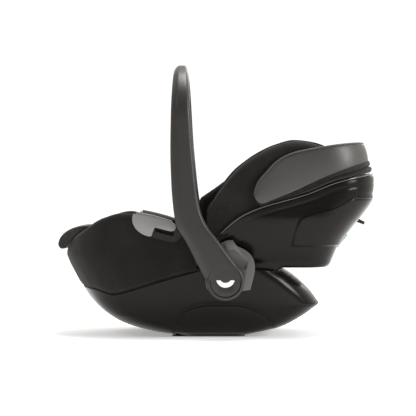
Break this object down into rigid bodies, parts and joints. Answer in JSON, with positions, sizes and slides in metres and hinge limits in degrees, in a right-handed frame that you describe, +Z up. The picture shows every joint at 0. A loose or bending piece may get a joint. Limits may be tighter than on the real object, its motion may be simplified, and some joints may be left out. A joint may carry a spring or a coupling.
{
  "type": "infant car seat",
  "caption": "Infant car seat with a rocking base, a reclining padded back shell, a swinging carry handle, a folding canopy, a harness and vehicle belt guides.",
  "frame": {"origin": "on the floor under the middle of the seat's bounding box, at the seat's mid-plane", "axes": "+X towards the head end, +Y to the occupant's left, +Z up"},
  "size_m": [0.6847, 0.444, 0.584],
  "materials": {
    "hull_plastic": "semi-gloss black moulded plastic",
    "handle_plastic": "fine-textured black moulded plastic",
    "dark_plastic": "dark grey moulded plastic",
    "grey_plastic": "satin mid-grey moulded plastic",
    "mid_grey_plastic": "satin darker grey moulded plastic",
    "green_plastic": "bright green moulded plastic",
    "red_plastic": "red moulded plastic",
    "white_plastic": "white pad-printed inlay",
    "rubber": "soft black rubber",
    "steel": "bright zinc-plated steel",
    "cover_fabric": "black woven seat fabric",
    "canopy_fabric": "thin black woven fabric",
    "leatherette": "dark grey satin leatherette",
    "webbing": "black polyester webbing",
    "foam": "fabric over moulded foam"
  },
  "bodies": {
    "base": {"base_shell": "hull_plastic", "side_panel_right": "hull_plastic", "side_panel_left": "hull_plastic", "runner_pads": "rubber", "leg_cover": "cover_fabric", "seat_pad": "cover_fabric", "seat_foam": "foam", "foot_bolster": "cover_fabric", "buckle": "dark_plastic", "buckle_tongues": "steel", "crotch_strap": "webbing", "lap_straps": "webbing", "harness_adjuster": "dark_plastic", "belt_guide_right": "grey_plastic", "belt_guide_left": "grey_plastic", "guide_frame_right": "dark_plastic", "guide_frame_left": "dark_plastic", "hub_bracket_right": "mid_grey_plastic", "hub_bracket_left": "mid_grey_plastic", "pivot_pin_right": "steel", "pivot_pin_left": "steel", "recline_sector_right": "dark_plastic", "recline_sector_left": "dark_plastic"},
    "backrest": {"back_shell": "hull_plastic", "rear_cover": "hull_plastic", "rim_trim": "hull_plastic", "wing_cover": "foam", "side_bolsters": "cover_fabric", "back_pad": "cover_fabric", "back_foam": "foam", "shoulder_belt_guide": "green_plastic", "lever_mount": "hull_plastic", "lever_pin": "steel", "shoulder_pads": "cover_fabric", "shoulder_straps": "webbing", "canopy_fold_lower": "canopy_fabric", "canopy_mount_right": "dark_plastic", "canopy_mount_left": "dark_plastic", "canopy_pin_right": "dark_plastic", "canopy_pin_left": "dark_plastic"},
    "headrest": {"headrest_shell": "dark_plastic", "headrest_pad": "cover_fabric", "headrest_handle": "dark_plastic"},
    "lever": {"release_lever": "dark_plastic"},
    "buckle_press": {"buckle_button": "red_plastic"},
    "handle": {"handle": "handle_plastic", "handle_grip": "rubber", "button_spring_right": "steel", "button_spring_left": "steel"},
    "button_right": {"handle_button_right": "handle_plastic", "button_marker_right": "white_plastic"},
    "button_left": {"handle_button_left": "handle_plastic", "button_marker_left": "white_plastic"},
    "visor": {"canopy_visor": "leatherette", "canopy_fold_upper": "canopy_fabric"},
    "bow": {"canopy_bow": "dark_plastic"}
  },
  "joints": [
    {"name": "backrest_recline", "type": "hinge", "parent": "base", "child": "backrest", "pos_m": [0.0155, 0, 0.125], "axis": [0, -1, 0], "range_deg": [0, 20], "deforming": ["shoulder_straps"]},
    {"name": "handle_swing", "type": "hinge", "parent": "base", "child": "handle", "pos_m": [0.0155, 0, 0.125], "axis": [0, 1, 0], "range_deg": [-75, 110]},
    {"name": "handle_button_right_press", "type": "slide", "parent": "handle", "child": "button_right", "axis": [0, 1, 0], "range_m": [0, 0.004], "stiffness_N_per_m": 400, "deforming": ["button_spring_right"]},
    {"name": "handle_button_left_press", "type": "slide", "parent": "handle", "child": "button_left", "axis": [0, -1, 0], "range_m": [0, 0.004], "stiffness_N_per_m": 400, "deforming": ["button_spring_left"]},
    {"name": "headrest_height", "type": "slide", "parent": "backrest", "child": "headrest", "axis": [0.887, 0, 0.4618], "range_m": [0, 0.05]},
    {"name": "release_lever_pull", "type": "hinge", "parent": "backrest", "child": "lever", "pos_m": [0.30711, 0, 0.25223], "axis": [0, 1, 0], "range_deg": [0, 25], "stiffness_Nm_per_rad": 0.05},
    {"name": "buckle_release", "type": "slide", "parent": "base", "child": "buckle_press", "axis": [0, 0, -1], "range_m": [0, 0.002], "stiffness_N_per_m": 300},
    {"name": "canopy_unfold", "type": "hinge", "parent": "backrest", "child": "visor", "pos_m": [0.0956, 0, 0.3046], "axis": [0, -1, 0], "range_deg": [0, 100], "deforming": ["canopy_fold_upper", "canopy_fold_lower"]},
    {"name": "canopy_bow_follow", "type": "hinge", "parent": "backrest", "child": "bow", "pos_m": [0.0956, 0, 0.3046], "axis": [0, -1, 0], "range_deg": [0, 50]}
  ],
  "couplings": [
    {"joint": "canopy_bow_follow", "follows": "canopy_unfold", "ratio": 0.5}
  ]
}
